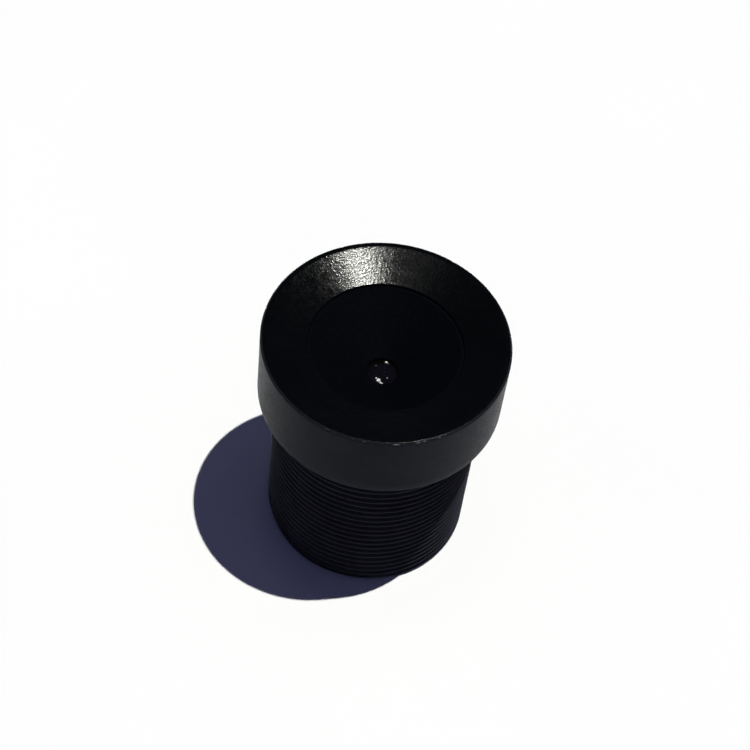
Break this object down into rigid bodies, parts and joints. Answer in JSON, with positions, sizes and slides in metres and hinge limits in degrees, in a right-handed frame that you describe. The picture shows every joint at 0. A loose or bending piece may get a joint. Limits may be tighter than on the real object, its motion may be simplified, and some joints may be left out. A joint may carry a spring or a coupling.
{
  "type": "board camera lens",
  "caption": "Fixed-focus board camera lens: a black turned barrel with a dished round head, a fine M12 thread to screw it into a lens holder, glass elements, a fixed stop and a rear filter.",
  "frame": {"origin": "centre of the rear face, on the optical axis", "axes": "+Z along the optical axis, from the rear face towards the head; the barrel is round, so X and Y are free"},
  "size_m": [0.014, 0.014, 0.0162],
  "materials": {
    "black_anodised": "satin black anodised, with a fine grain and small worn spots on the rim",
    "matt_black_ring": "matt black, darker than the barrel",
    "coated_front_glass": "polished, with a faint violet coating",
    "blackened_aluminium": "matt black",
    "crown_glass": "polished",
    "flint_glass": "polished",
    "blackened_foil": "chemically blackened thin sheet",
    "filter_glass": "polished, with a reddish infrared-cut coating"
  },
  "bodies": {
    "root": {"barrel": "black_anodised", "front_ring": "matt_black_ring", "front_element": "coated_front_glass", "stop_plate": "blackened_foil", "front_spacer": "blackened_aluminium", "second_element": "crown_glass", "middle_spacer": "blackened_aluminium", "third_element": "crown_glass", "fourth_element": "flint_glass", "rear_spacer": "blackened_aluminium", "fifth_element": "crown_glass", "rear_ring": "blackened_aluminium", "rear_filter": "filter_glass"}
  },
  "joints": []
}
